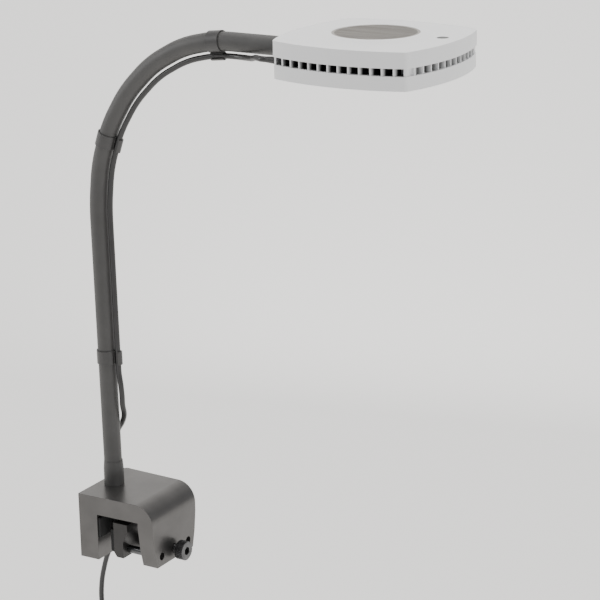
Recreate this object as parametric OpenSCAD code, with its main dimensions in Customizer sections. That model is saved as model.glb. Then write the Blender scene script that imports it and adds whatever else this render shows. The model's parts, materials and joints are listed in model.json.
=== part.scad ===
// Clamp-on aquarium light: a fan-cooled lamp head on a flexible neck, with a screw clamp and a lead.
// X runs from the outside of the tank to the inside, Y along the pane, and Z up.
// The origin is on the pane's outer face, at the slot's ceiling, in the middle of the clamp.

/* [Head] */
// Width of the head across the middles of two opposite sides
head_w = 125; // [122:1:128]
// How far each side bulges past the line between its corners
side_bulge = 9.6; // [8:0.2:11]
// Height of the top cover
upper_h = 11.4; // [11:0.2:12.4]
// Height of the open gap where the fins show
gap_h = 5.5; // [5:0.1:5.8]
// Height of the bottom cover
lower_h = 10.1; // [10:0.1:10.6]
// Thickness of the covers' walls
wall = 2; // [1.8:0.1:2.2]
// Radius of the fan grille
grille_r = 31.4; // [31:0.2:31.8]
// Spacing of the fins
fin_pitch = 8; // [7.9:0.05:8]
// Thickness of a fin
fin_t = 1.1; // [1:0.1:1.4]

/* [Neck] */
// Outer radius of the neck's sleeve
sleeve_r = 7.25; // [7.2:0.05:7.3]
// Distance between two hinges of the neck
link_len = 33; // [32:0.5:34]
// Length of the rigid stretch from the clamp to the first hinge
lower_len = 134; // [130:1:140]
// Length of the straight rigid end, from its bend to the middle of the head
reach = 134.3; // [132:0.5:140]
// Radius of the lead
lead_r = 2.2; // [2.1:0.05:2.25]

/* [Clamp] */
// Depth of the clamp along the pane, at its outer side
clamp_d = 65; // [62:1:68]
// Thickness of the clamp above the pane
clamp_top = 15.5; // [14:0.5:17]
// Width of the slot between the two legs
slot_w = 39; // [39:0.5:42]
// Thickness of the inner leg, which carries the screw
leg_in_t = 14; // [13:0.5:15]
// Distance of each guide pin from the screw
pin_y = 18.5; // [17:0.5:20]
// Radius of the screw's thread
screw_r = 4; // [3.8:0.1:4.2]
// Radius of the screw's knob
knob_r = 8; // [7:0.5:9]

/* [Hidden] */
$fn = 96;

// Levels of the head, down from its top face
z_upper = -upper_h;
z_lower = z_upper - gap_h;
z_bottom = z_lower - lower_h;
top_t = 2.4;
// The low rise in the middle of the top, round the grille
rise = 1.8;
rise_r = 43;
rise_top_r = 36;
grille_seat_r = 29.4;
floor_t = 2;
lower_inset = 0.5;
plate_top = z_lower - 0.2;
plate_low = plate_top - 3.8;
fin_top = -8.6;
axis_depth = 14.5;
half_chord = head_w / 2 - side_bulge;
side_r = (half_chord * half_chord + side_bulge * side_bulge) / (2 * side_bulge);
side_c = side_r - head_w / 2;
post_xy = 42;
post_r = 3.5;
fan_w = 60;
fan_h = 10;
lens_r = 35.7;
dome_h = 4;
button_xy = [48, 9];
button_r = 4;
bracket = [[-58.5, -11, -22.6], [-37, 11, -6.5]];
jack = [[-57.7, -21, -24.6], [-46, -13, -18]];
plug_y = -17;
plug_z = -21.5;
plug_end = -80;

// The neck's course: the lean of each stretch from upright, and its length.
// Stretch 0 is the rigid foot, 1 to 9 follow the hinges, and 10 follows the fixed bend.
lean = [-0.8, -0.8, -0.8, -0.8, 6.5, 19, 32, 45.5, 61, 77, 90];
stretch = [lower_len, link_len, link_len, link_len, link_len, link_len, link_len, link_len, link_len, 31.1];
neck_x = -7.1;
bend_t = 13;
half_link = link_len / 2;
sleeve_in = 6.55;
ball_r = 4.2;
socket_r = 4.5;
cup_r = 5;
rod_r = 4.5;
lead_off = 10.8;
clip_h = 11;
clip_s = 25.5;
clip_gap = 0.3;
clip_up = 5;
flex_end = 15;

function dir(a) = [sin(a), 0, cos(a)];
function side(a) = [cos(a), 0, -sin(a)];
function corner(k) = k == 0 ? [neck_x, 0, clamp_top] : corner(k - 1) + stretch[k - 1] * dir(lean[k - 1]);
function turn(k) = lean[k] - lean[k - 1];
function bend_r(k) = bend_t / tan(turn(k) / 2);
function bend_start(k) = corner(k) - bend_t * dir(lean[k - 1]);
function bend_centre(k) = bend_start(k) + bend_r(k) * side(lean[k - 1]);
// A point of bend k where the neck leans by a, moved off the centre line towards the inside
function bend_point(k, a, off) = bend_centre(k) - (bend_r(k) - off) * side(a);
function bend_points(k, off, n) = [for (i = [0:n]) bend_point(k, lean[k - 1] + turn(k) * i / n, off)];

head_pos = [corner(10)[0] + reach, 0, corner(10)[2] + axis_depth];

// The clamp
leg_out_x = -19.5;
pad_t = 2;
slot_end = slot_w - pad_t;
leg_in_x = slot_end + leg_in_t;
leg_out_z = -39;
leg_in_z = -38;
outer_round = 16;
screw_z = -30;
run_gap = 0.08;
pin_r = 3.12;
jaw_x = 10;
jaw_t = 13.5;
jaw_foot = 9;
jaw_half = 27;
jaw_top = -6;
jaw_low = -35.5;
spigot_r = 2.2;
ring_r = 3.8;
knob_x = leg_in_x + 4;
knob_h = 7.5;
bolt_r = 2.5;
bolt_head_r = 4.25;
bolt_seat = -10;

// The free lead: its route from the lowest clip to the coil, and the coil itself
lead_route = [
    [2.5, 0, 111], [3.7, 0, 102], [4.1, 0.5, 92], [3.5, 1.5, 84], [2.1, 5, 75], [-3.3, 9.5, 66],
    [-12, 15, 56], [-21, 23, 43], [-28, 31, 27], [-33, 37, 9], [-36, 39, -12], [-37.5, 40, -32],
    [-41, 39.5, -55], [-50.5, 40, -80], [-56.5, 41, -105], [-57, 42, -127], [-54.6, 42.6, -147]
];
coil_pos = [-26, 38, -155];
coil_r = 24;
coil_half = 7;
strand = 4.6;
tail_x = coil_pos[0] - coil_r - strand;
tail_y = coil_pos[1] - strand;
tail_low = -182;

// ---- shared shapes ----

module at_head() {
    translate(head_pos) children();
}

// The head's plan: four bulged sides that meet at corners
module outline(inset) {
    intersection_for (a = [0:90:270]) {
        rotate(a) translate([side_c, 0]) circle(r = side_r - inset);
    }
}

module slab(inset, low, high) {
    translate([0, 0, low]) linear_extrude(high - low) outline(inset);
}

module box_between(corners) {
    translate(corners[0]) cube(corners[1] - corners[0]);
}

module at_posts() {
    for (x = [-1, 1], y = [-1, 1]) translate([x * post_xy, y * post_xy, 0]) children();
}

module rod_z(r, low, high) {
    translate([0, 0, low]) cylinder(r = r, h = high - low);
}

module rod_x(r, from, to) {
    translate([from, 0, 0]) rotate([0, 90, 0]) cylinder(r = r, h = to - from);
}

module along(k, s) {
    translate(corner(k) + s * dir(lean[k])) rotate([0, lean[k], 0]) children();
}

module neck_hole() {
    translate([-head_w / 2 - 5, 0, -axis_depth]) rotate([0, 90, 0]) cylinder(r = sleeve_r + 0.05, h = 20);
}

module ring_2d(r_out, r_in) {
    difference() {
        circle(r = r_out);
        circle(r = r_in);
    }
}

function unit(v) = v / norm(v);
function tangent(p, i) = unit(p[min(i + 1, len(p) - 1)] - p[max(i - 1, 0)]);
function ring_at(c, t, r, n) =
    let (u = unit(cross(t, abs(t[1]) < 0.9 ? [0, 1, 0] : [1, 0, 0])), v = cross(t, u))
    [for (j = [0:n - 1]) c + r * (cos(360 * j / n) * u + sin(360 * j / n) * v)];

// A tube swept along points
module tube(points, r, n) {
    count = len(points);
    rings = [for (i = [0:count - 1]) each ring_at(points[i], tangent(points, i), r, n)];
    walls = [for (i = [0:count - 2], j = [0:n - 1])
        [i * n + j, i * n + (j + 1) % n, (i + 1) * n + (j + 1) % n, (i + 1) * n + j]];
    caps = [[for (j = [n - 1:-1:0]) j], [for (j = [0:n - 1]) (count - 1) * n + j]];
    polyhedron(points = rings, faces = concat(walls, caps), convexity = 6);
}

// The same tube with a bore along it
module pipe(points, r_out, r_in, n) {
    count = len(points);
    m = count * n;
    e = m - n;
    outer = [for (i = [0:count - 1]) each ring_at(points[i], tangent(points, i), r_out, n)];
    inner = [for (i = [0:count - 1]) each ring_at(points[i], tangent(points, i), r_in, n)];
    out_walls = [for (i = [0:count - 2], j = [0:n - 1])
        [i * n + j, i * n + (j + 1) % n, (i + 1) * n + (j + 1) % n, (i + 1) * n + j]];
    in_walls = [for (i = [0:count - 2], j = [0:n - 1])
        [m + i * n + j, m + (i + 1) * n + j, m + (i + 1) * n + (j + 1) % n, m + i * n + (j + 1) % n]];
    start = [for (j = [0:n - 1]) [(j + 1) % n, j, m + j, m + (j + 1) % n]];
    end = [for (j = [0:n - 1]) [e + j, e + (j + 1) % n, m + e + (j + 1) % n, m + e + j]];
    polyhedron(points = concat(outer, inner), faces = concat(out_walls, in_walls, start, end), convexity = 8);
}

// ---- lamp head ----

module head_upper_shell() {
    color("gainsboro") at_head() difference() {
        union() {
            difference() {
                slab(0, z_upper, 0);
                slab(wall, z_upper - 1, -top_t);
            }
            translate([0, 0, -0.1]) cylinder(r1 = rise_r, r2 = rise_top_r, h = rise + 0.1);
            at_posts() rod_z(post_r, plate_top, -top_t);
            for (y = [-4, 22]) translate([40, y, 0]) rod_z(2, -6, -top_t);
        }
        rod_z(grille_seat_r, -top_t - 1, 1);
        rod_z(grille_r, 0, rise + 1);
        at_posts() rod_z(1.4, plate_top - 1, -6);
        translate(button_xy) rod_z(button_r + 0.3, -top_t - 1, 1);
        for (x = [-25, 25], y = [-25, 25]) translate([x, y, 0]) rod_z(1.25, -top_t - 1, -1.3);
        neck_hole();
    }
}

module head_lower_shell() {
    color("silver") at_head() difference() {
        union() {
            difference() {
                slab(lower_inset, z_bottom, z_lower);
                slab(lower_inset + wall, z_bottom + floor_t, z_lower + 1);
            }
            at_posts() rod_z(post_r, z_bottom + floor_t / 2, plate_low);
        }
        rod_z(lens_r + 0.2, z_bottom - 1, z_bottom + floor_t + 1);
        at_posts() {
            rod_z(1.6, z_bottom - 1, plate_low + 1);
            rod_z(3, z_bottom - 1, z_bottom + 1.9);
        }
        neck_hole();
        translate([-head_w / 2 - 5, plug_y, plug_z]) rod_x(3.3, 0, 12);
    }
}

module fins() {
    half_count = 6.5;
    for (i = [-half_count:half_count], s = [-1, 1]) {
        translate([i * fin_pitch - fin_t / 2, s > 0 ? 32 : -70, -50]) cube([fin_t, 38, 60]);
        near = abs(i) < 4 ? 32 : 50.5;
        translate([s > 0 ? near : -70, i * fin_pitch - fin_t / 2, -50]) cube([70 - near, fin_t, 60]);
    }
}

module heat_sink() {
    color("lightgray") at_head() difference() {
        union() {
            slab(2.7, plate_low, plate_top);
            intersection() {
                fins();
                union() {
                    slab(2.7, plate_top - 1, fin_top);
                    slab(1.2, z_lower + 0.1, z_upper - 0.1);
                }
            }
            for (i = [-3:3]) {
                translate([i * fin_pitch - fin_t / 2, -28, plate_top - 1]) cube([fin_t, 56, 3.9]);
            }
        }
        at_posts() {
            rod_z(1.6, plate_low - 1, plate_top + 1);
            rod_z(post_r + 0.3, plate_top, 0);
        }
        box_between([[-70, -11.3, -30], [-36, 11.3, 0]]);
        box_between([[-70, -22, -30], [-45, -11, z_lower]]);
    }
}

module fan_frame() {
    color("dimgray") at_head() translate([0, 0, -top_t - fan_h]) difference() {
        union() {
            difference() {
                translate([-fan_w / 2, -fan_w / 2, 0]) cube([fan_w, fan_w, fan_h]);
                rod_z(28.8, -1, fan_h + 1);
            }
            rod_z(12, 0, 1.2);
            for (a = [45:90:315]) rotate(a) translate([11, -1.5, 0]) cube([19, 3, 1.2]);
        }
        rod_z(1.5 + run_gap, -1, 2);
        for (x = [-25, 25], y = [-25, 25]) translate([x, y, 0]) rod_z(1.45, -1, fan_h + 1);
    }
}

module fan_impeller() {
    blade_low = 1.8;
    blade_high = 9;
    color("black") at_head() translate([0, 0, -top_t - fan_h]) union() {
        rod_z(11.5, blade_low, blade_high);
        rod_z(1.5, 0.1, 3);
        intersection() {
            for (a = [0:360 / 7:359]) {
                rotate(a) translate([10, 0, 5.4]) rotate([38, 0, 0]) cube([40, 1.2, 20], center = true);
            }
            difference() {
                rod_z(28.2, blade_low + 0.3, blade_high - 0.3);
                rod_z(11, 0, 10);
            }
        }
    }
}

module fan_screws() {
    color("black") at_head() for (x = [-25, 25], y = [-25, 25]) translate([x, y, 0]) {
        rod_z(1.25, -top_t - fan_h, -1.4);
        rod_z(2.3, -top_t - fan_h - 1.4, -top_t - fan_h);
    }
}

module fan_grille() {
    bar = 1.1;
    slot_pitch = 2.4;
    color("rosybrown") at_head() difference() {
        rod_z(grille_r - 0.05, 0, 1.6);
        intersection() {
            rod_z(grille_r - 2, -1, 3);
            for (i = [-12:11]) {
                translate([-40, i * slot_pitch + bar / 2, -1]) cube([80, slot_pitch - bar, 4]);
            }
        }
    }
}

module led_board() {
    color("white") at_head() rod_z(34, plate_low - 1.6, plate_low);
}

module led_chips() {
    chip = 3.2;
    color("gold") at_head() for (i = [-1.5:1.5], j = [-1.5:1.5]) {
        translate([i * 7 - chip / 2, j * 7 - chip / 2, plate_low - 2.4]) cube([chip, chip, 0.8]);
    }
}

// A dome with a flange that rests on the bottom cover's floor
module lens() {
    rim_z = z_bottom - 0.8;
    dome_r = (lens_r * lens_r + dome_h * dome_h) / (2 * dome_h);
    seat = z_bottom + floor_t;
    color("aliceblue", 0.5) at_head() rotate_extrude() union() {
        translate([lens_r - 2.5, rim_z]) square([2.5, seat + 1.8 - rim_z]);
        translate([lens_r - 2.5, seat]) square([5.3, 1.8]);
        intersection() {
            translate([0, rim_z - dome_h - 1]) square([lens_r, dome_h + 1]);
            translate([0, rim_z - dome_h + dome_r]) difference() {
                circle(r = dome_r, $fn = 720);
                circle(r = dome_r - 2, $fn = 720);
            }
        }
    }
}

module lens_ring() {
    color("dimgray") at_head() translate([0, 0, z_bottom - 1.3]) linear_extrude(1.3) ring_2d(41, lens_r + 0.2);
}

module control_board() {
    color("darkgreen") at_head() union() {
        translate([36, -8, -7.6]) cube([20, 34, 1.6]);
        translate([button_xy[0] - 3, button_xy[1] - 3, -6.1]) cube([6, 6, 1.9]);
    }
}

module control_button() {
    color("black") at_head() translate(button_xy) union() {
        rod_z(button_r, -top_t - 0.2, 0);
        rod_z(button_r + 1, -top_t - 1.2, -top_t - 0.1);
    }
}

module arm_bracket() {
    color("gray") at_head() difference() {
        box_between(bracket);
        translate([0, 0, -axis_depth]) rod_x(rod_r + 0.05, -60, -30);
        for (x = [-53, -42]) translate([x, 0, 0]) rod_z(1.5, -axis_depth, 0);
    }
}

module arm_set_screws() {
    color("black") at_head() for (x = [-53, -42]) translate([x, 0, 0]) {
        rod_z(1.5, -axis_depth + rod_r, bracket[1][2] - 0.5);
    }
}

module power_jack() {
    color("black") at_head() difference() {
        box_between(jack);
        translate([0, plug_y, plug_z]) rod_x(2.6, -60, -49);
    }
}

module head_plug() {
    color("black") at_head() translate([0, plug_y, plug_z]) union() {
        rod_x(2.5, -61, -49.5);
        rod_x(3.1, -68, -60.9);
        translate([plug_end, 0, 0]) rotate([0, 90, 0]) cylinder(r1 = lead_r + 0.1, r2 = 3.1, h = 12);
    }
}

module shell_screws() {
    color("silver") at_head() at_posts() {
        rod_z(1.4, z_bottom + 1, -7);
        rod_z(2.8, z_bottom + 0.1, z_bottom + 1.8);
    }
}

// ---- neck ----

module cup() {
    difference() {
        rod_z(cup_r, -6.5, 2.2);
        sphere(r = socket_r);
    }
}

module ball() {
    sphere(r = ball_r);
    rod_z(2, 0, 9);
}

module neck_base() {
    color("darkgray") along(0, 0) difference() {
        union() {
            rod_z(5, 0.15, lower_len - 6);
            translate([0, 0, lower_len]) cup();
        }
        rod_z(2.9, 0, 14);
    }
}

module link(k) {
    color("darkgray") along(k, 0) union() {
        ball();
        rod_z(3.2, 8, link_len - 6);
        translate([0, 0, link_len]) cup();
    }
}

module link_1() { link(1); }
module link_2() { link(2); }
module link_3() { link(3); }
module link_4() { link(4); }
module link_5() { link(5); }
module link_6() { link(6); }
module link_7() { link(7); }
module link_8() { link(8); }

module neck_end() {
    color("darkgray") union() {
        along(9, 0) union() {
            ball();
            rod_z(rod_r, 8, stretch[9] - 2);
        }
        translate(corner(10)) sphere(r = rod_r + 0.3);
        translate(corner(10)) rod_x(rod_r, 2, reach + bracket[1][0]);
    }
}

module sleeve_lower() {
    color("dimgray") along(0, 0.2) linear_extrude(lower_len - half_link - 0.2) ring_2d(sleeve_r, sleeve_in);
}

module sleeve_flex() {
    points = concat(
        [corner(1) - half_link * dir(lean[0])],
        [for (k = [4:9]) each bend_points(k, 0, 3)],
        [corner(9) + flex_end * dir(lean[9])]
    );
    color("dimgray") pipe(points, sleeve_r, sleeve_in, 24);
}

module sleeve_upper() {
    points = concat(
        [corner(9) + flex_end * dir(lean[9])],
        bend_points(10, 0, 3),
        [corner(10) + [reach + bracket[0][0], 0, 0]]
    );
    color("dimgray") pipe(points, sleeve_r, sleeve_in, 24);
}

module neck_ferrule() {
    color("dimgray") translate([neck_x, 0, clamp_top]) difference() {
        union() {
            rod_z(8.15, 0, 13);
            translate([0, 0, 13]) cylinder(r1 = 8.15, r2 = 7.6, h = 7);
        }
        rod_z(7.5, -1, 21);
    }
}

module neck_bolt() {
    color("silver") translate([neck_x, 0, 0]) difference() {
        union() {
            rod_z(bolt_r, bolt_seat - 1, clamp_top + 12);
            rod_z(bolt_head_r, bolt_seat - 5, bolt_seat);
        }
        translate([0, 0, bolt_seat - 6]) cylinder(r = 2.3, h = 3.5, $fn = 6);
    }
}

// A ring round the sleeve with an open hook for the lead; the hook's mouth faces -Y
module clip() {
    mouth = 3.4;
    color("dimgray") translate([0, 0, -clip_h / 2]) difference() {
        union() {
            cylinder(r = sleeve_r + clip_gap + 0.65, h = clip_h);
            translate([lead_off, 0, 0]) cylinder(r = lead_r + 1.3, h = clip_h);
        }
        rod_z(sleeve_r + clip_gap, -1, clip_h + 1);
        translate([lead_off, 0, 0]) rod_z(lead_r + clip_gap + 0.1, -1, clip_h + 1);
        translate([lead_off - mouth / 2, -6, -1]) cube([mouth, 6, clip_h + 2]);
    }
}

module clip_lower() { along(0, lower_len - clip_s) clip(); }
module clip_middle() { along(5, half_link + clip_up) clip(); }
module clip_upper() {
    mid = (lean[9] + lean[10]) / 2;
    translate(bend_point(10, mid, 0)) rotate([0, mid, 0]) clip();
}

function beside(k, s) = corner(k) + s * dir(lean[k]) + lead_off * side(lean[k]);

module cable_lower() {
    color("black") along(0, lower_len - clip_s - clip_h / 2) translate([lead_off, 0, 0])
        rod_z(lead_r, 0, clip_s + clip_h / 2 - half_link);
}

module cable_flex() {
    points = concat(
        [beside(0, lower_len - half_link), beside(1, 0), beside(2, 0), beside(3, 0)],
        [for (k = [4:9]) each bend_points(k, lead_off, 4)],
        [beside(9, flex_end)]
    );
    color("black") tube(points, lead_r, 10);
}

module cable_upper() {
    plug = head_pos + [plug_end, plug_y, plug_z];
    below = corner(10) + [0, 0, -lead_off];
    points = concat(
        [beside(9, flex_end)],
        bend_points(10, lead_off, 4),
        [below + [20, -1, 0.2], below + [28, -4, 0.7], below + [36, -8.5, 1.6], plug + [-12, 4, -0.4],
        plug + [-6, 0.6, -0.1], plug + [-4, 0, 0], plug]
    );
    color("black") tube(points, lead_r, 10);
}

// ---- clamp ----

module clamp_profile() {
    difference() {
        union() {
            translate([leg_out_x, leg_out_z]) square([-pad_t - leg_out_x, clamp_top - leg_out_z]);
            translate([leg_out_x, 0]) square([leg_in_x - leg_out_x, clamp_top]);
            translate([slot_end, leg_in_z]) square([leg_in_t, clamp_top - leg_in_z]);
        }
        translate([leg_in_x - outer_round, clamp_top - outer_round]) difference() {
            square(outer_round + 1);
            circle(r = outer_round);
        }
    }
}

// The clamp narrows a little towards the inside of the tank
module clamp_plan() {
    half = clamp_d / 2;
    polygon([
        [leg_out_x - 1, -half], [leg_in_x + 1, -half + 2], [leg_in_x + 1, half - 2], [leg_out_x - 1, half]
    ]);
}

// What is cut off the sides of the inner leg, which tapers downwards
module leg_taper() {
    half = clamp_d / 2;
    for (s = [0, 1]) mirror([0, s, 0]) translate([slot_end - 2, 0, 0]) rotate([90, 0, 90])
        linear_extrude(leg_in_t + 4) polygon([
            [half - 1.5, -4], [half - 4, -24], [half - 7.5, leg_in_z - 1], [half + 5, leg_in_z - 1], [half + 5, -4]
        ]);
}

module clamp_body() {
    color([0.42, 0.41, 0.4]) difference() {
        intersection() {
            rotate([90, 0, 0]) linear_extrude(clamp_d + 2, center = true) clamp_profile();
            translate([0, 0, leg_out_z - 1]) linear_extrude(clamp_top - leg_out_z + 2) clamp_plan();
        }
        leg_taper();
        translate([neck_x, 0, 0]) {
            rod_z(bolt_r + 0.25, bolt_seat - 1, clamp_top + 1);
            rod_z(bolt_head_r + 0.2, leg_out_z - 1, bolt_seat);
        }
        translate([0, 0, screw_z]) rod_x(screw_r + run_gap, slot_end - 1, leg_in_x + 1);
        for (y = [-pin_y, pin_y]) {
            translate([0, y, screw_z]) rod_x(pin_r + run_gap, slot_end - 1, leg_in_x + 1);
        }
    }
}

module fixed_pad() {
    color("black") translate([-pad_t, -clamp_d / 2 + 1.5, -20]) cube([pad_t, clamp_d - 3, 17]);
}

module jaw() {
    color([0.4, 0.39, 0.38]) difference() {
        rotate([90, 0, 0]) linear_extrude(2 * jaw_half, center = true) polygon([
            [jaw_x, jaw_top], [jaw_x + jaw_t, jaw_top], [jaw_x + jaw_t, jaw_top - 7],
            [jaw_x + jaw_foot, jaw_top - 16], [jaw_x + jaw_foot, jaw_low], [jaw_x + 2.5, jaw_low],
            [jaw_x, jaw_low + 3.5]
        ]);
        translate([0, 0, screw_z]) {
            rod_x(ring_r + 0.4, jaw_x - 1, jaw_x + 3.5);
            rod_x(spigot_r + run_gap, jaw_x, jaw_x + jaw_foot + 1);
        }
        for (y = [-pin_y, pin_y]) translate([0, y, screw_z]) rod_x(pin_r, jaw_x + 2, jaw_x + jaw_t + 1);
    }
}

module jaw_pad() {
    pad_w = 4;
    round_r = 2.5;
    low = -32.5;
    high = -13;
    color("black") rotate([90, 0, 0]) linear_extrude(2 * jaw_half - 3, center = true) difference() {
        translate([jaw_x - pad_w, low]) square([pad_w, high - low]);
        translate([jaw_x - pad_w + round_r, low + round_r]) difference() {
            translate([-round_r - 1, -round_r - 1]) square(round_r + 1);
            circle(r = round_r);
        }
    }
}

module guide_pins() {
    color("silver") for (y = [-pin_y, pin_y]) translate([0, y, screw_z]) {
        rod_x(pin_r, jaw_x + 2, leg_in_x - 5);
        translate([leg_in_x - 5, 0, 0]) rotate([0, 90, 0]) cylinder(r1 = pin_r, r2 = pin_r - 1, h = 1);
    }
}

module knob() {
    notches = 36;
    notch = 1.1;
    linear_extrude(knob_h) difference() {
        circle(r = knob_r);
        for (i = [0:notches - 1]) {
            rotate(i * 360 / notches) translate([knob_r, 0]) rotate(45) square(notch, center = true);
        }
    }
}

module clamp_screw() {
    color([0.2, 0.2, 0.2]) translate([0, 0, screw_z]) difference() {
        union() {
            rod_x(spigot_r, jaw_x + 1.2, jaw_x + jaw_foot + 0.5);
            rod_x(screw_r, jaw_x + jaw_foot + 0.3, leg_in_x + 1);
            rod_x(screw_r - 0.8, leg_in_x, knob_x + 1);
            translate([knob_x, 0, 0]) rotate([0, 90, 0]) knob();
        }
        translate([knob_x + knob_h - 5, 0, 0]) rotate([0, 90, 0]) cylinder(r = 3.5, h = 6, $fn = 6);
    }
}

module screw_ring() {
    color("silver") translate([jaw_x + 2.2, 0, screw_z]) rotate([0, 90, 0])
        linear_extrude(1) ring_2d(ring_r, spigot_r);
}

// ---- free lead ----

module lead_tube() {
    start = beside(0, lower_len - clip_s - clip_h / 2);
    color("black") tube(concat([start], lead_route), lead_r, 8);
}

module lead_coil() {
    color("black") translate(coil_pos) rotate([90, 0, 0]) rotate_extrude()
        translate([coil_r - coil_half, -coil_half]) square(2 * coil_half);
}

module coil_tie() {
    gap = 0.3;
    thick = 1;
    color("dimgray") translate(coil_pos + [0, 0, coil_r]) difference() {
        cube([6, 2 * (coil_half + gap + thick), 2 * (coil_half + gap + thick)], center = true);
        translate([0, 0, -gap / 2]) cube([8, 2 * (coil_half + gap), 2 * coil_half + 3 * gap], center = true);
    }
}

module lead_tail() {
    color("black") translate([tail_x, tail_y, 0]) rod_z(lead_r, tail_low, coil_pos[2] - 9);
}

// Barrel plug for the lamp's power supply
module dc_plug() {
    color("black") translate([tail_x, tail_y, tail_low]) difference() {
        union() {
            translate([0, 0, -12]) cylinder(r1 = 4, r2 = lead_r + 0.2, h = 12);
            rod_z(5, -32, -12);
            rod_z(2.75, -41.5, -31);
        }
        rod_z(1.05, -43, -33);
    }
}

head_upper_shell();
head_lower_shell();
heat_sink();
fan_frame();
fan_impeller();
fan_screws();
fan_grille();
led_board();
led_chips();
lens();
lens_ring();
control_board();
control_button();
arm_bracket();
arm_set_screws();
power_jack();
head_plug();
shell_screws();
neck_base();
link_1();
link_2();
link_3();
link_4();
link_5();
link_6();
link_7();
link_8();
neck_end();
sleeve_lower();
sleeve_flex();
sleeve_upper();
neck_ferrule();
neck_bolt();
clip_lower();
clip_middle();
clip_upper();
cable_upper();
cable_flex();
cable_lower();
clamp_body();
fixed_pad();
jaw();
jaw_pad();
guide_pins();
clamp_screw();
screw_ring();
lead_tube();
lead_coil();
lead_tail();
coil_tie();
dc_plug();
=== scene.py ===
"""
Clamp-on aquarium light: camera, lead, looks and lights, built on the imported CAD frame.
Lengths are in metres.
"""

import json
import math

import bmesh
import bpy
from mathutils import Matrix, Vector

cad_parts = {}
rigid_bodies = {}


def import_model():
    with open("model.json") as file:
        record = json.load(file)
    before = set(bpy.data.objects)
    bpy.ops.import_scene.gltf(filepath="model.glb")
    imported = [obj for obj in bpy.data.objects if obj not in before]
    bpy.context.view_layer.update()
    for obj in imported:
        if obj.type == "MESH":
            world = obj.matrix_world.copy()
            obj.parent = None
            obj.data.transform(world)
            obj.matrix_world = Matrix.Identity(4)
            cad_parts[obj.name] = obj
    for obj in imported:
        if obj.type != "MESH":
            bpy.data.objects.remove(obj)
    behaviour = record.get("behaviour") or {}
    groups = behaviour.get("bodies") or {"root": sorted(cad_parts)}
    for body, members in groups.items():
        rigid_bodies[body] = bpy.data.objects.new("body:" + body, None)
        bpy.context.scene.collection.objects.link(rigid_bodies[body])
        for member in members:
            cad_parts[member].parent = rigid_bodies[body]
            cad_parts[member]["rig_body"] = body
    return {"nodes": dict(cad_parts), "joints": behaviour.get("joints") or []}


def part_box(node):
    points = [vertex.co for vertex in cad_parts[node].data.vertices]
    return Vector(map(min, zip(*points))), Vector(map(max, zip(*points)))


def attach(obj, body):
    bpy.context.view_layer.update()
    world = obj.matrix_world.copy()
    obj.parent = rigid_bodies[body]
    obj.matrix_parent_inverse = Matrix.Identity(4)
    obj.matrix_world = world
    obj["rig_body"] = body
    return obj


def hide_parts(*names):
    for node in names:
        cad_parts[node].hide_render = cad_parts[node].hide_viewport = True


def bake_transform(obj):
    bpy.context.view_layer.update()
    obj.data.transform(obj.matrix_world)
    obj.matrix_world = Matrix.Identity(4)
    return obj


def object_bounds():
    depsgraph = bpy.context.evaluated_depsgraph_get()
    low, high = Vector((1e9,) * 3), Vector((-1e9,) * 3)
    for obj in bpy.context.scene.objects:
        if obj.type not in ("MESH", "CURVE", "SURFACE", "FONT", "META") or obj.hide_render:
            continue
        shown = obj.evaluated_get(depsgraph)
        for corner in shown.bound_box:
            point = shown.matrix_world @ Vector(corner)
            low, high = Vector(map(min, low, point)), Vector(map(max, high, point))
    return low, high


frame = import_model()
CAD_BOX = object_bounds()
MM = 0.001
NODES = frame["nodes"]
JOINTS = {j["name"]: j for j in frame["joints"]}

# ---- driving dimensions, as in part.scad ----

BENDS = [
    "neck_side", "bend_lower", "bend_lower_2", "bend_lower_3", "bend_middle",
    "bend_middle_2", "bend_middle_3", "bend_upper", "bend_upper_2",
]
NECK_BODIES = ["clamp"] + [f"link_{k}" for k in range(1, 9)] + ["head"]
# How far each stretch of the neck leans from upright, in degrees, from the clamp up
LEAN = [-0.8, -0.8, -0.8, -0.8, 6.5, 19, 32, 45.5, 61, 77, 90]
SLEEVE_R = 7.25 * MM
LEAD_R = 2.2 * MM
# From the neck's middle line to the lead's
LEAD_OFF = 10.8 * MM
# How far below the first hinge the neck starts to hold the lead
LEAD_HOLD = 31 * MM
# How far from its corner each bend of the neck starts and ends
BEND_T = 13 * MM
# From the head's top down to the neck's middle line
AXIS_DEPTH = 14.5 * MM
# The rise round the grille
RISE = 1.8 * MM
# The head's bulged sides: their radius, and how far their centres lie past the head's middle
SIDE_R = 150.55 * MM
SIDE_C = 88.05 * MM

fan_low, fan_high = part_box("fan_frame")
HEAD_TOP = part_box("head_upper_shell")[1].z - RISE
HEAD_X = (fan_low.x + fan_high.x) / 2


def lean_dir(angle):
    a = math.radians(angle)
    return Vector((math.sin(a), 0, math.cos(a)))


def lean_side(angle):
    a = math.radians(angle)
    return Vector((math.cos(a), 0, -math.sin(a)))


def neck_corners():
    """The neck's corners: its foot, its nine hinges, and the fixed bend before the head."""
    low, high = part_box("neck_ferrule")
    foot = Vector(((low.x + high.x) / 2, 0, low.z))
    hinges = [Vector(JOINTS[name]["pos_m"]) for name in BENDS]
    rise = HEAD_TOP - AXIS_DEPTH - hinges[-1].z
    last = hinges[-1] + lean_dir(LEAN[9]) * (rise / lean_dir(LEAN[9]).z)
    return [foot] + hinges + [last]


CORNER = neck_corners()


def bend_point(k, angle, off):
    """A point of the bend at corner k where the neck leans by angle, moved off its middle line."""
    radius = BEND_T / math.tan(math.radians(LEAN[k] - LEAN[k - 1]) / 2)
    start = CORNER[k] - BEND_T * lean_dir(LEAN[k - 1])
    centre = start + radius * lean_side(LEAN[k - 1])
    return centre - (radius - off) * lean_side(angle)


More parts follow.
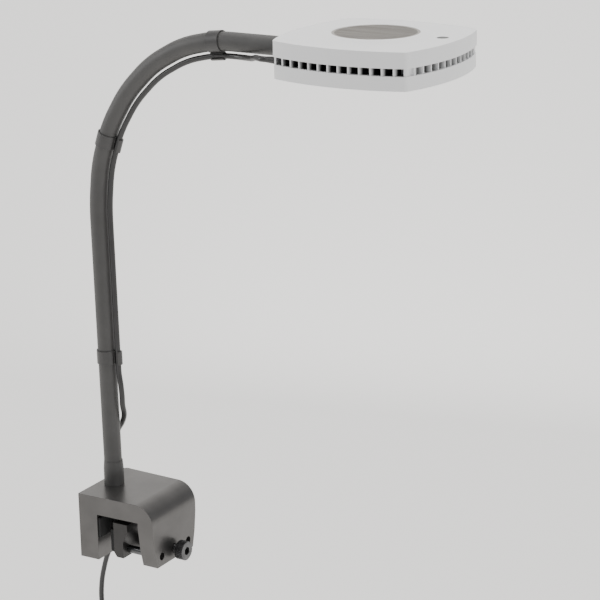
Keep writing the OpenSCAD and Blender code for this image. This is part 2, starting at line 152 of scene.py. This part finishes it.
def on_stretch(k, s, off=0.0):
    """A point of stretch k, s along from its lower corner, moved off its middle line."""
    return CORNER[k] + s * lean_dir(LEAN[k]) + off * lean_side(LEAN[k])


def lead_hold_start():
    return on_stretch(0, (CORNER[1] - CORNER[0]).length - LEAD_HOLD, LEAD_OFF)


# ---- camera ----

CAMERA_PLACE = (0.956, -1.285, 0.656)
CAMERA_ANGLES = (31.369, 16.974, -0.962)
LENS, SENSOR = 126.6, 36


def make_camera():
    azimuth, elevation, roll = (math.radians(a) for a in CAMERA_ANGLES)
    right = Vector((math.cos(azimuth), math.sin(azimuth), 0))
    back = Vector((
        math.sin(azimuth) * math.cos(elevation),
        -math.cos(azimuth) * math.cos(elevation),
        math.sin(elevation),
    ))
    up = back.cross(right)
    cos_roll, sin_roll = math.cos(roll), math.sin(roll)
    right, up = right * cos_roll + up * sin_roll, up * cos_roll - right * sin_roll
    data = bpy.data.cameras.new("camera")
    data.lens = LENS
    data.sensor_width = SENSOR
    data.clip_end = 50
    camera = bpy.data.objects.new("camera", data)
    turn = Matrix((right, up, back)).transposed().to_4x4()
    camera.matrix_world = Matrix.Translation(CAMERA_PLACE) @ turn
    bpy.context.scene.collection.objects.link(camera)
    bpy.context.scene.camera = camera


make_camera()

# ---- materials ----


class Mat:
    """A material under construction: its nodes, with helpers that add to them."""

    def __init__(self, name, color, rough, metallic=0.0, specular=0.5):
        self.mat = bpy.data.materials.new(name)
        self.mat.use_nodes = True
        self.tree = self.mat.node_tree
        self.shader = self.tree.nodes["Principled BSDF"]
        self.set("Base Color", (*color, 1))
        self.set("Roughness", rough)
        self.set("Metallic", metallic)
        self.set("Specular IOR Level", specular)
        self.color = color
        self.coords = self.node("ShaderNodeTexCoord").outputs["Object"]

    def node(self, kind, **inputs):
        n = self.tree.nodes.new(kind)
        for key, value in inputs.items():
            n.inputs[key.replace("_", " ")].default_value = value
        return n

    def link(self, a, b):
        self.tree.links.new(a, b)

    def set(self, socket, value):
        self.shader.inputs[socket].default_value = value

    def noise(self, scale, detail=3.0, stretch=(1, 1, 1)):
        """Noise at so many features a metre, drawn out along some axes."""
        mapping = self.node("ShaderNodeMapping", Scale=stretch)
        self.link(self.coords, mapping.inputs["Vector"])
        n = self.node("ShaderNodeTexNoise", Scale=scale, Detail=detail)
        self.link(mapping.outputs["Vector"], n.inputs["Vector"])
        return n.outputs["Fac"]

    def tint(self, fac, dark, light, low=0.3, high=0.7):
        """Varies the colour from dark to light times its own, with fac."""
        ramp = self.node("ShaderNodeValToRGB")
        ramp.color_ramp.elements[0].position = low
        ramp.color_ramp.elements[1].position = high
        ramp.color_ramp.elements[0].color = (*[c * dark for c in self.color], 1)
        ramp.color_ramp.elements[1].color = (*[min(1, c * light) for c in self.color], 1)
        self.link(fac, ramp.inputs["Fac"])
        self.link(ramp.outputs["Color"], self.shader.inputs["Base Color"])

    def bump(self, fac, height, strength=1.0):
        """Raises the surface by fac times height, on top of what was raised before."""
        b = self.node("ShaderNodeBump", Distance=height, Strength=strength)
        self.link(fac, b.inputs["Height"])
        before = self.shader.inputs["Normal"].links
        if before:
            self.link(before[0].from_socket, b.inputs["Normal"])
        self.link(b.outputs["Normal"], self.shader.inputs["Normal"])

    def scratches(self, scale, stretch, height):
        """Raises fine marks, drawn out along some axes."""
        self.bump(self.noise(scale, 2, stretch), height)

    def calc(self, operation, a, b=0.0):
        """The result of one sum: a and b are numbers, or sockets to read."""
        n = self.node("ShaderNodeMath")
        n.operation = operation
        for socket, value in zip(n.inputs, (a, b)):
            if isinstance(value, float):
                socket.default_value = value
            else:
                self.link(value, socket)
        return n.outputs["Value"]

    def fin_painted_shade_mask(self, centre):
        """1 near the head's outline and 0 further in, where the fins stand in their own shade: the mask for
        the shade painted deep between the fins.
        """
        split = self.node("ShaderNodeSeparateXYZ")
        self.link(self.coords, split.inputs["Vector"])
        x = self.calc("ABSOLUTE", self.calc("SUBTRACT", split.outputs["X"], centre.x))
        y = self.calc("ABSOLUTE", self.calc("SUBTRACT", split.outputs["Y"], centre.y))
        spans = []
        for a, b in ((x, y), (y, x)):
            out = self.calc("POWER", self.calc("ADD", a, SIDE_C), 2.0)
            spans.append(self.calc("SQRT", self.calc("ADD", out, self.calc("POWER", b, 2.0))))
        depth = self.calc("SUBTRACT", SIDE_R, self.calc("MAXIMUM", *spans))
        fade = self.node("ShaderNodeMapRange")
        lit, shaded = 2.5 * MM, 6 * MM
        for name, value in (("From Min", lit), ("From Max", shaded), ("To Min", 1.0), ("To Max", 0.0)):
            fade.inputs[name].default_value = value
        self.link(depth, fade.inputs["Value"])
        return fade.outputs["Result"]


def make_materials():
    m = {}

    cover = Mat("cover_white", (0.8, 0.8, 0.8), 0.42)
    cover.tint(cover.noise(30), 0.985, 1.01)
    cover.bump(cover.noise(2500, 2), 0.02 * MM, 0.25)
    m["cover"] = cover

    fins = Mat("fin_metal", (0.8, 0.8, 0.8), 0.45, 0.1)
    centre = NODES["heat_sink"].matrix_world.inverted() @ Vector((HEAD_X, 0, HEAD_TOP))
    # The fins are painted nearly black further in from the head's outline: painted shade in the gaps between
    # them.
    fins.tint(fins.fin_painted_shade_mask(centre), 0.03, 1.0, 0.0, 1.0)
    fins.bump(fins.noise(900, 3, (1, 1, 4)), 0.02 * MM, 0.3)
    m["fins"] = fins

    grille = Mat("grille_metal", (0.29, 0.27, 0.245), 0.4, 0.55)
    grille.tint(grille.noise(120, 3, (0.12, 1.6, 1)), 0.8, 1.22)
    grille.bump(grille.noise(900, 2, (0.05, 1, 1)), 0.04 * MM, 0.5)
    m["grille"] = grille

    clamp = Mat("clamp_anodised", (0.118, 0.114, 0.111), 0.33, 0.85)
    clamp.tint(clamp.noise(45, 5), 0.9, 1.1)
    clamp.bump(clamp.noise(3200, 3), 0.02 * MM, 0.45)
    clamp.scratches(260, (0.12, 1.5, 1.5), 0.004 * MM)
    m["clamp"] = clamp

    # The jaw's anodising is painted darker than the clamp body's: painted shade for the slot it sits in,
    # behind the glass.
    jaw = Mat("jaw_anodised_painted_shade", (0.05, 0.048, 0.047), 0.36, 0.7)
    jaw.tint(jaw.noise(60, 4), 0.85, 1.15)
    jaw.bump(jaw.noise(3000, 3), 0.02 * MM, 0.4)
    m["jaw"] = jaw

    sleeve = Mat("sleeve_shrink", (0.063, 0.061, 0.059), 0.5, 0, 0.45)
    sleeve.tint(sleeve.noise(55, 4), 0.9, 1.1)
    sleeve.bump(sleeve.noise(130, 3), 0.25 * MM, 0.16)
    sleeve.bump(sleeve.noise(3000, 2), 0.015 * MM, 0.5)
    m["sleeve"] = sleeve

    lead = Mat("lead_jacket", (0.026, 0.025, 0.025), 0.3, 0, 0.5)
    lead.tint(lead.noise(80), 0.9, 1.15)
    lead.bump(lead.noise(400, 3), 0.04 * MM, 0.25)
    m["lead"] = lead

    clip = Mat("clip_plastic", (0.05, 0.048, 0.047), 0.38)
    clip.tint(clip.noise(200), 0.92, 1.08)
    clip.bump(clip.noise(2600, 2), 0.015 * MM, 0.4)
    m["clip"] = clip

    black = Mat("black_plastic", (0.02, 0.02, 0.021), 0.4)
    black.tint(black.noise(150), 0.85, 1.15)
    black.bump(black.noise(3000, 2), 0.015 * MM, 0.5)
    m["black"] = black

    rubber = Mat("pad_rubber", (0.018, 0.018, 0.018), 0.72, 0, 0.35)
    rubber.tint(rubber.noise(300), 0.85, 1.2)
    rubber.bump(rubber.noise(2200, 4), 0.05 * MM, 0.6)
    m["rubber"] = rubber

    steel = Mat("steel_bright", (0.62, 0.61, 0.6), 0.24, 1)
    steel.tint(steel.noise(200), 0.93, 1.05)
    steel.scratches(1200, (0.1, 1, 1), 0.008 * MM)
    m["steel"] = steel

    dark = Mat("steel_black", (0.11, 0.11, 0.112), 0.26, 0.9)
    dark.tint(dark.noise(260), 0.8, 1.25)
    dark.scratches(1500, (0.15, 1, 1), 0.01 * MM)
    m["dark"] = dark

    link = Mat("link_metal", (0.5, 0.5, 0.5), 0.32, 1)
    link.tint(link.noise(160), 0.9, 1.06)
    link.bump(link.noise(1400, 2), 0.01 * MM, 0.4)
    m["link"] = link

    board = Mat("board_green", (0.015, 0.12, 0.05), 0.35)
    board.tint(board.noise(700, 1), 0.8, 1.5, 0.48, 0.52)
    board.bump(board.noise(900, 1), 0.03 * MM, 0.4)
    m["board"] = board

    white_board = Mat("board_white", (0.82, 0.82, 0.8), 0.3)
    white_board.tint(white_board.noise(500, 1), 0.94, 1.02)
    white_board.bump(white_board.noise(1500, 2), 0.01 * MM, 0.4)
    m["white_board"] = white_board

    chip = Mat("chip_phosphor", (0.9, 0.66, 0.12), 0.25)
    chip.tint(chip.noise(600), 0.92, 1.05)
    chip.bump(chip.noise(2500, 2), 0.01 * MM, 0.3)
    m["chip"] = chip

    lens = Mat("lens_frosted", (0.93, 0.95, 0.97), 0.28)
    lens.set("Transmission Weight", 0.85)
    lens.set("IOR", 1.45)
    lens.tint(lens.noise(60), 0.98, 1.01)
    lens.bump(lens.noise(1800, 2), 0.02 * MM, 0.5)
    m["lens"] = lens

    return {name: material.mat for name, material in m.items()}


MATS = make_materials()

NODE_MATS = {
    "cover": ["head_upper_shell", "head_lower_shell"],
    "fins": ["heat_sink"],
    "grille": ["fan_grille"],
    "clamp": ["clamp_body"],
    "jaw": ["jaw"],
    "sleeve": ["sleeve_lower", "sleeve_flex", "sleeve_upper", "neck_ferrule"],
    "lead": ["cable_upper", "cable_flex", "cable_lower", "head_plug", "lead_tube", "lead_coil", "lead_tail"],
    "clip": ["clip_lower", "clip_middle", "clip_upper"],
    "black": [
        "fan_frame", "fan_impeller", "lens_ring", "control_button", "power_jack", "dc_plug", "coil_tie",
    ],
    "rubber": ["fixed_pad", "jaw_pad"],
    "steel": ["shell_screws", "neck_bolt", "screw_ring", "arm_bracket"],
    "dark": ["clamp_screw", "guide_pins", "fan_screws", "arm_set_screws"],
    "link": ["neck_base", "neck_end"] + [f"link_{k}" for k in range(1, 9)],
    "board": ["control_board"],
    "white_board": ["led_board"],
    "chip": ["led_chips"],
    "lens": ["lens"],
}


def paint(obj, material):
    obj.data.materials.clear()
    obj.data.materials.append(MATS[material])
    return obj


for material, members in NODE_MATS.items():
    for member in members:
        paint(NODES[member], material)

# ---- making pieces ----


def new_piece(name, mesh, material, body=None):
    """An object of its own, riding on body if one is given."""
    obj = bpy.data.objects.new(name, mesh)
    bpy.context.scene.collection.objects.link(obj)
    paint(obj, material)
    if body:
        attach(obj, body)
    return obj


def smooth(mesh, angle=35):
    """Smooth faces, with edges sharper than angle kept crisp."""
    mesh.set_sharp_from_angle(angle=math.radians(angle))
    mesh.polygons.foreach_set("use_smooth", [True] * len(mesh.polygons))


def mesh_from(name, points, faces, angle=35):
    """A mesh with doubled points joined and every face turned outwards."""
    mesh = bpy.data.meshes.new(name)
    mesh.from_pydata([tuple(p) for p in points], [], faces)
    bm = bmesh.new()
    bm.from_mesh(mesh)
    bmesh.ops.remove_doubles(bm, verts=bm.verts, dist=1e-7)
    bmesh.ops.recalc_face_normals(bm, faces=bm.faces)
    bm.to_mesh(mesh)
    bm.free()
    smooth(mesh, angle)
    return mesh


# Points nearer than this are one, and faces nearer in direction than this are one
WELD = 0.004 * MM
FLAT = math.radians(1.0)
# An edge is upright if it drifts sideways less than this, and is longer than this
DRIFT = 0.05 * MM
SHORTEST = 1 * MM
# Edges sharper than this are rounded
CRISP = math.radians(40)


def bevelled(node, material, width, upright=None, upright_width=0.0):
    """
    A CAD node's own shape with its crisp edges rounded, in place of that node.
    Upright edges for which upright(x, y) holds, in millimetres, get the wider rounding.
    """
    name = f"{node}_finished"
    mesh = NODES[node].data.copy()
    mesh.name = name
    bm = bmesh.new()
    bm.from_mesh(mesh)
    bmesh.ops.remove_doubles(bm, verts=bm.verts, dist=WELD)
    bmesh.ops.dissolve_limit(
        bm, angle_limit=FLAT, verts=bm.verts, edges=bm.edges, delimit={"NORMAL"}
    )
    if upright:
        place = NODES[node].matrix_world
        chosen = []
        for edge in bm.edges:
            a, b = (place @ v.co for v in edge.verts)
            plumb = math.hypot(a.x - b.x, a.y - b.y) < DRIFT and abs(a.z - b.z) > SHORTEST
            if plumb and upright(a.x / MM, a.y / MM):
                chosen.append(edge)
        bmesh.ops.bevel(bm, geom=chosen, offset=upright_width, segments=8, profile=0.5, affect="EDGES")
    bm.to_mesh(mesh)
    bm.free()
    smooth(mesh, 30)
    obj = new_piece(name, mesh, material, NODES[node]["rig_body"])
    round_off = obj.modifiers.new("round", "BEVEL")
    round_off.width = width
    round_off.segments = 3
    round_off.limit_method = "ANGLE"
    round_off.angle_limit = CRISP
    round_off.use_clamp_overlap = True
    weigh = obj.modifiers.new("weigh", "WEIGHTED_NORMAL")
    weigh.mode = "FACE_AREA"
    weigh.weight = 90
    apply_modifiers(obj)
    obj.data.polygons.foreach_set("use_smooth", [True] * len(obj.data.polygons))
    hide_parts(node)
    return obj


def apply_modifiers(obj):
    """Makes an object's mesh what its modifiers show."""
    depsgraph = bpy.context.evaluated_depsgraph_get()
    made = bpy.data.meshes.new_from_object(obj.evaluated_get(depsgraph))
    obj.modifiers.clear()
    obj.data = made


def band_faces(rings, sides):
    """The faces that join each ring of points to the next."""
    faces = []
    for i in range(rings - 1):
        for j in range(sides):
            k = (j + 1) % sides
            faces.append((i * sides + j, i * sides + k, (i + 1) * sides + k, (i + 1) * sides + j))
    return faces


def sweep(points, radius, sides):
    """Vertices and faces of an open tube along points."""
    last = len(points) - 1
    verts = []
    for i, p in enumerate(points):
        t = (points[min(i + 1, last)] - points[max(i - 1, 0)]).normalized()
        u = t.cross(Vector((0, 1, 0))).normalized()
        v = t.cross(u)
        for j in range(sides):
            a = 2 * math.pi * j / sides
            verts.append(p + radius * (u * math.cos(a) + v * math.sin(a)))
    return verts, band_faces(len(points), sides)


def lathe(name, outline, centre, material, body):
    """
    A turned piece about a vertical line through centre.
    outline is radius and height pairs in millimetres.
    """
    sides = 64
    verts = []
    for r, z in outline:
        for j in range(sides):
            a = 2 * math.pi * j / sides
            verts.append(centre + Vector((r * math.cos(a), r * math.sin(a), z)) * MM)
    return new_piece(name, mesh_from(name, verts, band_faces(len(outline), sides)), material, body)


def straight(a, b, step):
    """Points from a to b, about a step apart."""
    n = max(1, round((b - a).length / step))
    return [a.lerp(b, i / n) for i in range(n + 1)]


# ---- the free lead ----

# The free lead's route from the neck to its coil, in millimetres
LEAD_ROUTE = [
    (2.5, 0, 111), (3.7, 0, 102), (4.1, 0.5, 92), (3.5, 1.5, 84), (2.1, 5, 75), (-3.3, 9.5, 66),
    (-12, 15, 56), (-21, 23, 43), (-28, 31, 27), (-33, 37, 9), (-36, 39, -12), (-37.5, 40, -32),
    (-41, 39.5, -55), (-50.5, 40, -80), (-56.5, 41, -105), (-57, 42, -127), (-54.6, 42.6, -147),
]
COIL_POS = Vector((-26, 38, -155)) * MM
COIL_R = 24 * MM
COIL_TURNS = 8
STRAND = 4.6 * MM
# Heights of the tail's points from the coil to the plug, in millimetres
TAIL_HEIGHTS = (-164, -173, -182)
# The place of each turn in the coil's section, outwards and along its axis, in strands
COIL_SLOTS = [(1, 1), (1, 0), (0, 0), (0, 1), (-1, 1), (-1, 0), (-1, -1), (0, -1), (1, -1)]


def coil_points():
    """The coil's turns: each keeps to its place, then crosses to the next within a part of a turn."""
    # Degrees in which it crosses, degrees from one crossing to the next, and points in each turn
    cross, step, per_turn = 36, 320, 30
    start = 180
    end = start + COIL_TURNS * 360
    points = []
    count = COIL_TURNS * per_turn
    for i in range(count + 1):
        a = start + (end - start) * i / count
        done = (a - start) / step
        k = min(int(done), len(COIL_SLOTS) - 1)
        out, along = COIL_SLOTS[k]
        into = a - start - k * step
        if k > 0 and into < cross:
            u = into / cross
            u = u * u * (3 - 2 * u)
            before = COIL_SLOTS[k - 1]
            out = before[0] + (out - before[0]) * u
            along = before[1] + (along - before[1]) * u
        r = COIL_R + out * STRAND
        t = math.radians(a)
        points.append(COIL_POS + Vector((r * math.cos(t), along * STRAND, r * math.sin(t))))
    return points


def smooth_path(points, step):
    """Points along a smooth curve through the given ones, about a step apart."""
    out = []
    n = len(points)
    for i in range(n - 1):
        p0, p1, p2, p3 = points[max(i - 1, 0)], points[i], points[i + 1], points[min(i + 2, n - 1)]
        m1 = (p2 - p0) / 2 if i > 0 else p2 - p1
        m2 = (p3 - p1) / 2 if i < n - 2 else p2 - p1
        parts = max(1, math.ceil((p2 - p1).length / step))
        for j in range(parts):
            t = j / parts
            a = 2 * t**3 - 3 * t**2 + 1
            b = t**3 - 2 * t**2 + t
            c = -2 * t**3 + 3 * t**2
            d = t**3 - t**2
            out.append(a * p1 + b * m1 + c * p2 + d * m2)
    out.append(points[-1])
    return out


def path_length(points):
    return sum((b - a).length for a, b in zip(points, points[1:]))


def make_lead():
    """The free lead: from the neck down behind the clamp, round its coil and on to the plug."""
    exit_point = lead_hold_start()
    exit_point.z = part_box("cable_lower")[0].z
    coil = coil_points()
    down = [Vector((coil[-1].x, coil[-1].y, z * MM)) for z in TAIL_HEIGHTS]
    loose = [exit_point] + [Vector(p) * MM for p in LEAD_ROUTE]
    path = loose + coil + down
    curve = bpy.data.curves.new("lead", "CURVE")
    curve.dimensions = "3D"
    curve.bevel_depth = LEAD_R
    curve.bevel_resolution = 5
    curve.resolution_u = 5
    spline = curve.splines.new("BEZIER")
    spline.bezier_points.add(len(path) - 1)
    for point, place in zip(spline.bezier_points, path):
        point.co = place
        point.handle_left_type = point.handle_right_type = "AUTO"
    lead = bpy.data.objects.new("lead", curve)
    bpy.context.scene.collection.objects.link(lead)
    paint(lead, "lead")
    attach(lead, "clamp")
    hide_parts("lead_tube", "lead_coil", "lead_tail")
    length = path_length(smooth_path(path, 1 * MM))
    return lead, exit_point, length


LEAD, LEAD_EXIT, LEAD_LENGTH = make_lead()


def make_dc_plug():
    """The lead's plug: ribbed strain relief, ridged grip and a metal barrel."""
    low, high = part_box("dc_plug")
    x, y = (low.x + high.x) / 2, (low.y + high.y) / 2
    outline = [(2.25, 0), (2.5, -0.2)]
    for i in range(5):
        z, r = -0.8 - 2.1 * i, 2.6 + 0.27 * i
        outline += [(r, z), (r + 0.35, z - 0.3), (r + 0.35, z - 1.1), (r, z - 1.4)]
    outline += [(3.95, -11.6), (4.6, -12.0), (4.9, -12.4), (5, -13)]
    for i in range(7):
        z = -15.5 - 2 * i
        outline += [(5, z), (4.65, z - 0.25), (4.65, z - 0.8), (5, z - 1.05)]
    outline += [(5, -31.4), (4.85, -31.8), (4.5, -32), (3.1, -32)]
    body = lathe("dc_plug_grip", outline, Vector((x, y, high.z)), "black", "clamp")
    barrel = [(2.6, -31.5), (2.75, -32.1), (2.75, -41.1), (2.55, -41.5), (2.35, -41.5), (2.3, -41.2)]
    barrel += [(1.3, -41.2), (1.1, -41), (1.05, -34), (0, -34)]
    metal = lathe("dc_plug_barrel", barrel, Vector((x, y, high.z)), "steel", "clamp")
    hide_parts("dc_plug")
    return [body, metal]


PLUG = make_dc_plug()
TIE = bevelled("coil_tie", "black", 0.25 * MM)

# ---- neck ----

# Points of a tube stand this far apart: beside a bend, where the neck is straight, and on rigid ends
BEND_STEP = 1.2 * MM
EVEN_STEP = 1.5 * MM
END_STEP = 3 * MM
SLEEVE_SIDES, LEAD_SIDES = 64, 28
# What is left of the last stretch after the last hinge's bend
LAST_HALF = 15 * MM


def bend_arc(k, steps, off):
    turn = LEAN[k] - LEAN[k - 1]
    return [bend_point(k, LEAN[k - 1] + turn * i / steps, off) for i in range(steps + 1)]


def neck_course(k, off):
    """The neck's line from the middle of stretch k - 1, round hinge k, to the middle of stretch k."""
    half_before = (CORNER[2] - CORNER[1]).length / 2
    half_after = half_before if k < 9 else LAST_HALF
    a = on_stretch(k - 1, (CORNER[k] - CORNER[k - 1]).length - half_before, off)
    b = on_stretch(k, half_after, off)
    if LEAN[k] == LEAN[k - 1]:
        return straight(a, b, EVEN_STEP)
    arc = bend_arc(k, max(6, round(LEAN[k] - LEAN[k - 1])), off)
    return straight(a, arc[0], BEND_STEP)[:-1] + arc + straight(arc[-1], b, BEND_STEP)[1:]


def tube(name, line, radius, sides, material, body=None):
    verts, faces = sweep(line, radius, sides)
    return new_piece(name, mesh_from(name, verts, faces, 60), material, body)


def make_neck():
    """The sleeve and the lead beside it: one piece for each hinge, and rigid ends."""
    for k in range(1, 10):
        start = CORNER[k] - BEND_T * lean_dir(LEAN[k - 1])
        end = CORNER[k] + BEND_T * lean_dir(LEAN[k])
        near, far = (NECK_BODIES[k - 1], start), (NECK_BODIES[k], end)
        if k == 9:
            # Given from the head back: the other way, the full pose has no steady turning centre
            near, far = far, near
        for kind, off, radius, sides, material, node, slot in [
            ("sleeve", 0, SLEEVE_R, SLEEVE_SIDES, "sleeve", "sleeve_flex", "sleeve"),
            ("cable", LEAD_OFF, LEAD_R, LEAD_SIDES, "lead", "cable_flex", "lead_rubber"),
        ]:
            obj = tube(f"{kind}_bend_{k}", neck_course(k, off), radius, sides, material)
            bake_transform(obj)
            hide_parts(node)
    line = straight(on_stretch(0, 0.2 * MM), neck_course(1, 0)[0], END_STEP)
    sleeve_foot = tube("sleeve_foot", line, SLEEVE_R, SLEEVE_SIDES, "sleeve", "clamp")
    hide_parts("sleeve_lower")
    arc = bend_arc(10, 13, 0)
    line = straight(neck_course(9, 0)[-1], arc[0], BEND_STEP)[:-1] + arc
    line += straight(arc[-1], Vector((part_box("sleeve_upper")[1].x, 0, arc[-1].z)), END_STEP)[1:]
    sleeve_end = tube("sleeve_end", line, SLEEVE_R, SLEEVE_SIDES, "sleeve", "head")
    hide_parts("sleeve_upper")
    line = straight(lead_hold_start(), neck_course(1, LEAD_OFF)[0], EVEN_STEP)
    cable_foot = tube("cable_foot", line, LEAD_R, LEAD_SIDES, "lead", "clamp")
    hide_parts("cable_lower")


def make_cable_end():
    """The lead's last stretch, from the upper clip to the plug on the head."""
    low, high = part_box("head_plug")
    plug = Vector((low.x, (low.y + high.y) / 2, (low.z + high.z) / 2))
    below = CORNER[10] + Vector((0, 0, -LEAD_OFF))
    arc = bend_arc(10, 4, LEAD_OFF)
    ends = [below + Vector(p) * MM for p in [(20, -1, 0.2), (28, -4, 0.7), (36, -8.5, 1.6)]]
    ends += [plug + Vector(p) * MM for p in [(-12, 4, -0.4), (-6, 0.6, -0.1), (-4, 0, 0), (0, 0, 0)]]
    line = smooth_path([neck_course(9, LEAD_OFF)[-1]] + arc + ends, 1 * MM)
    obj = tube("cable_end", line, LEAD_R, LEAD_SIDES, "lead", "head")
    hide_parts("cable_upper")


make_neck()
make_cable_end()

# ---- CAD shapes with their edges finished ----

# Only the head's corners lie further than this from its middle, in millimetres
HEAD_CORNER_R = 73.5
# Only the clamp's far outer corner lies outside of this x and beyond this y, in millimetres
FAR_X, FAR_Y = -15, 30


def head_corner(x, y):
    return math.hypot(x - HEAD_X / MM, y) > HEAD_CORNER_R


def clamp_far_corner(x, y):
    return x < FAR_X and y > FAR_Y


for node, material, width in [
    ("jaw", "jaw", 0.6 * MM),
    ("fixed_pad", "rubber", 0.5 * MM),
    ("jaw_pad", "rubber", 0.5 * MM),
    ("clip_lower", "clip", 0.2 * MM),
    ("clip_middle", "clip", 0.2 * MM),
    ("clip_upper", "clip", 0.2 * MM),
    ("control_button", "black", 0.4 * MM),
    ("lens_ring", "black", 0.3 * MM),
    ("clamp_screw", "dark", 0.25 * MM),
]:
    bevelled(node, material, width)
for node in ("head_upper_shell", "head_lower_shell"):
    bevelled(node, "cover", 0.5 * MM, head_corner, 2.2 * MM)
bevelled("clamp_body", "clamp", 0.7 * MM, clamp_far_corner, 3.5 * MM)

# ---- floor, backdrop and lights ----


def make_stage():
    """A pale floor that curves up into a wall behind the object."""
    front, depth, wall, bend, half_width, steps = -3.0, 4.6, 5.0, 3.4, 6, 24
    floor_z = CAD_BOX[0].z - 0.35
    profile = [(front, 0.0)]
    for i in range(steps + 1):
        a = math.radians(90 * i / steps)
        profile.append((depth - bend + bend * math.sin(a), bend - bend * math.cos(a)))
    profile.append((depth, wall))
    verts, faces = [], []
    towards = Vector((-0.52, 0.854, 0))
    across = Vector((0.854, 0.52, 0))
    middle = Vector((0.1, 0, floor_z))
    for d, h in profile:
        for side in (-half_width, half_width):
            verts.append(middle + towards * d + across * side + Vector((0, 0, h)))
    for i in range(len(profile) - 1):
        faces.append((2 * i, 2 * i + 1, 2 * i + 3, 2 * i + 2))
    mesh = mesh_from("backdrop", verts, faces, 60)
    backdrop = bpy.data.objects.new("backdrop", mesh)
    bpy.context.scene.collection.objects.link(backdrop)
    paper = Mat("backdrop_paper", (0.18, 0.178, 0.175), 0.95, 0, 0.05)
    paper.set("Emission Color", (0.99, 0.975, 0.95, 1))
    paper.set("Emission Strength", 1.3)
    paper.tint(paper.noise(0.8, 2), 0.98, 1.01)
    mesh.materials.append(paper.mat)


def area_light(name, place, target, size, power, color=(1, 1, 1)):
    data = bpy.data.lights.new(name, "AREA")
    data.shape = "RECTANGLE"
    data.size, data.size_y = size
    data.energy = power
    data.color = color
    lamp = bpy.data.objects.new(name, data)
    lamp.location = place
    lamp.rotation_mode = "QUATERNION"
    lamp.rotation_quaternion = (Vector(target) - Vector(place)).to_track_quat("-Z", "Y")
    bpy.context.scene.collection.objects.link(lamp)


def make_lights():
    world = bpy.data.worlds.new("studio")
    world.use_nodes = True
    world.node_tree.nodes["Background"].inputs["Color"].default_value = (0.9, 0.92, 0.95, 1)
    world.node_tree.nodes["Background"].inputs["Strength"].default_value = 0.42
    bpy.context.scene.world = world
    area_light("top_light", (0.2, 0.2, 1.9), (0.15, 0, 0.3), (1.6, 1.4), 34, (1, 0.99, 0.97))
    area_light("left_light", (-1.5, -0.9, 0.9), (0, 0, 0.15), (0.9, 1.4), 17)
    area_light("right_light", (1.7, -0.6, 0.9), (0, 0, 0.1), (0.7, 1.3), 11)
    area_light("glow", (-0.5, 1.6, 0.3), (-1.3, 4.0, 0.3), (1.2, 1.2), 30)


make_stage()
make_lights()
